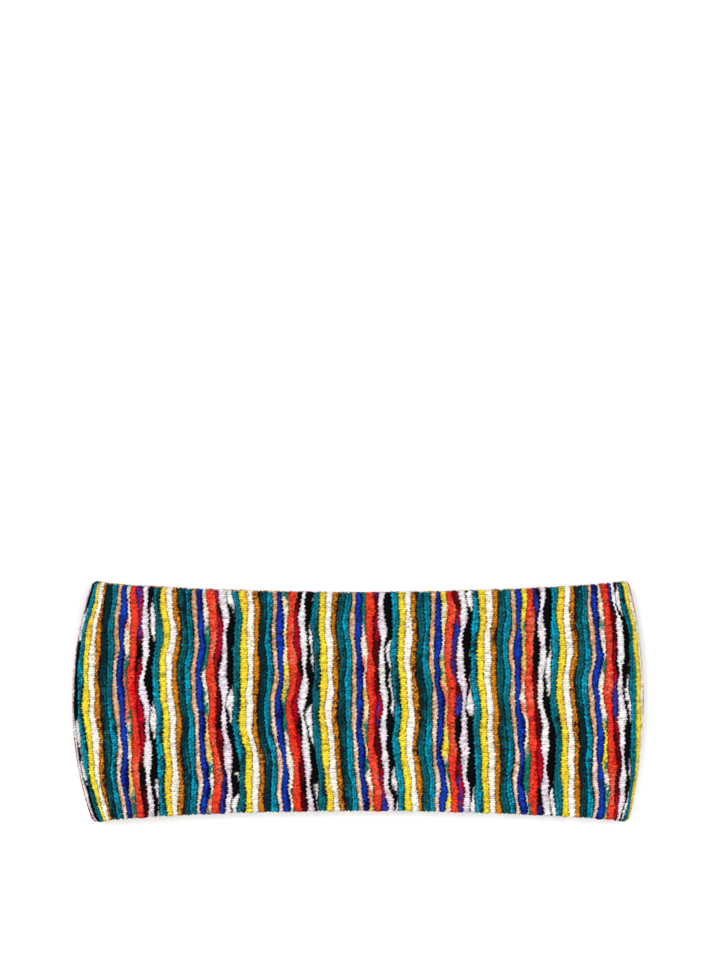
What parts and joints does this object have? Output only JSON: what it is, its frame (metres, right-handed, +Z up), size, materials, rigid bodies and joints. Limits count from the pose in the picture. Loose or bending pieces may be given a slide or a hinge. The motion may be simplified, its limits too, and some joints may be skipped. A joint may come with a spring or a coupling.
{
  "type": "knit sports headband",
  "caption": "Wide ribbed knit sports headband: a closed, lined loop lying flat, with elastic in both rims and a seam at the back. It opens from flat to round.",
  "frame": {"origin": "centre of the underside, on the surface that the headband lies on", "axes": "+X along the flattened loop, +Y across the band from rim to rim, +Z up from the surface"},
  "size_m": [0.23, 0.097, 0.012],
  "materials": {
    "ribbed_knit": "satin yarn ribs in many colours, teal, gold, ivory, amber, tan, blue, red, lilac and black",
    "jersey_lining": "matte jersey",
    "seam_knit": "cut knit edge",
    "elastic_tape": "covered elastic",
    "sewing_thread": "spun thread",
    "label_tape": "woven satin tape"
  },
  "bodies": {
    "back_centre": {"outer_knit_back_centre": "ribbed_knit", "lining_back_centre": "jersey_lining", "rim_elastic_back_centre": "elastic_tape", "hem_thread_back_centre": "sewing_thread", "seam_allowance": "seam_knit", "seam_thread": "sewing_thread", "care_label": "label_tape", "label_stitches": "sewing_thread"},
    "back_right": {"outer_knit_back_right": "ribbed_knit", "lining_back_right": "jersey_lining", "rim_elastic_back_right": "elastic_tape", "hem_thread_back_right": "sewing_thread"},
    "back_far_right": {"outer_knit_back_far_right": "ribbed_knit", "lining_back_far_right": "jersey_lining", "rim_elastic_back_far_right": "elastic_tape", "hem_thread_back_far_right": "sewing_thread"},
    "right_fold": {"outer_knit_right_fold": "ribbed_knit", "lining_right_fold": "jersey_lining", "rim_elastic_right_fold": "elastic_tape", "hem_thread_right_fold": "sewing_thread"},
    "front_far_right": {"outer_knit_front_far_right": "ribbed_knit", "lining_front_far_right": "jersey_lining", "rim_elastic_front_far_right": "elastic_tape", "hem_thread_front_far_right": "sewing_thread"},
    "front_right": {"outer_knit_front_right": "ribbed_knit", "lining_front_right": "jersey_lining", "rim_elastic_front_right": "elastic_tape", "hem_thread_front_right": "sewing_thread"},
    "front_centre_right": {"outer_knit_front_centre_right": "ribbed_knit", "lining_front_centre_right": "jersey_lining", "rim_elastic_front_centre_right": "elastic_tape", "hem_thread_front_centre_right": "sewing_thread"},
    "back_left": {"outer_knit_back_left": "ribbed_knit", "lining_back_left": "jersey_lining", "rim_elastic_back_left": "elastic_tape", "hem_thread_back_left": "sewing_thread"},
    "back_far_left": {"outer_knit_back_far_left": "ribbed_knit", "lining_back_far_left": "jersey_lining", "rim_elastic_back_far_left": "elastic_tape", "hem_thread_back_far_left": "sewing_thread"},
    "left_fold": {"outer_knit_left_fold": "ribbed_knit", "lining_left_fold": "jersey_lining", "rim_elastic_left_fold": "elastic_tape", "hem_thread_left_fold": "sewing_thread"},
    "front_far_left": {"outer_knit_front_far_left": "ribbed_knit", "lining_front_far_left": "jersey_lining", "rim_elastic_front_far_left": "elastic_tape", "hem_thread_front_far_left": "sewing_thread"},
    "front_left": {"outer_knit_front_left": "ribbed_knit", "lining_front_left": "jersey_lining", "rim_elastic_front_left": "elastic_tape", "hem_thread_front_left": "sewing_thread"},
    "front_centre_left": {"outer_knit_front_centre_left": "ribbed_knit", "lining_front_centre_left": "jersey_lining", "rim_elastic_front_centre_left": "elastic_tape", "hem_thread_front_centre_left": "sewing_thread"}
  },
  "joints": [
    {"name": "flex_back_right", "type": "hinge", "parent": "back_centre", "child": "back_right", "pos_m": [0.02354, 0, 0.003], "axis": [0, -1, 0], "range_deg": [0, 36]},
    {"name": "flex_back_far_right", "type": "hinge", "parent": "back_right", "child": "back_far_right", "pos_m": [0.06827, 0, 0.003], "axis": [0, -1, 0], "range_deg": [0, 36]},
    {"name": "right_fold_lower", "type": "hinge", "parent": "back_far_right", "child": "right_fold", "pos_m": [0.1123, 0, 0.0027], "axis": [0, 1, 0], "range_deg": [0, 72]},
    {"name": "right_fold_upper", "type": "hinge", "parent": "right_fold", "child": "front_far_right", "pos_m": [0.1123, 0, 0.0093], "axis": [0, 1, 0], "range_deg": [0, 72]},
    {"name": "flex_front_far_right", "type": "hinge", "parent": "front_far_right", "child": "front_right", "pos_m": [0.06827, 0, 0.009], "axis": [0, -1, 0], "range_deg": [0, 36]},
    {"name": "flex_front_right", "type": "hinge", "parent": "front_right", "child": "front_centre_right", "pos_m": [0.02354, 0, 0.009], "axis": [0, -1, 0], "range_deg": [0, 36]},
    {"name": "flex_back_left", "type": "hinge", "parent": "back_centre", "child": "back_left", "pos_m": [-0.02354, 0, 0.003], "axis": [0, 1, 0], "range_deg": [0, 36]},
    {"name": "flex_back_far_left", "type": "hinge", "parent": "back_left", "child": "back_far_left", "pos_m": [-0.06827, 0, 0.003], "axis": [0, 1, 0], "range_deg": [0, 36]},
    {"name": "left_fold_lower", "type": "hinge", "parent": "back_far_left", "child": "left_fold", "pos_m": [-0.1123, 0, 0.0027], "axis": [0, -1, 0], "range_deg": [0, 72]},
    {"name": "left_fold_upper", "type": "hinge", "parent": "left_fold", "child": "front_far_left", "pos_m": [-0.1123, 0, 0.0093], "axis": [0, -1, 0], "range_deg": [0, 72]},
    {"name": "flex_front_far_left", "type": "hinge", "parent": "front_far_left", "child": "front_left", "pos_m": [-0.06827, 0, 0.009], "axis": [0, 1, 0], "range_deg": [0, 36]},
    {"name": "flex_front_left", "type": "hinge", "parent": "front_left", "child": "front_centre_left", "pos_m": [-0.02354, 0, 0.009], "axis": [0, 1, 0], "range_deg": [0, 36]}
  ],
  "couplings": [
    {"joint": "flex_back_right", "follows": "right_fold_lower", "ratio": 0.5},
    {"joint": "flex_back_far_right", "follows": "right_fold_lower", "ratio": 0.5},
    {"joint": "right_fold_upper", "follows": "right_fold_lower", "ratio": 1},
    {"joint": "flex_front_far_right", "follows": "right_fold_lower", "ratio": 0.5},
    {"joint": "flex_front_right", "follows": "right_fold_lower", "ratio": 0.5},
    {"joint": "flex_back_left", "follows": "right_fold_lower", "ratio": 0.5},
    {"joint": "flex_back_far_left", "follows": "right_fold_lower", "ratio": 0.5},
    {"joint": "left_fold_lower", "follows": "right_fold_lower", "ratio": 1},
    {"joint": "left_fold_upper", "follows": "right_fold_lower", "ratio": 1},
    {"joint": "flex_front_far_left", "follows": "right_fold_lower", "ratio": 0.5},
    {"joint": "flex_front_left", "follows": "right_fold_lower", "ratio": 0.5}
  ]
}
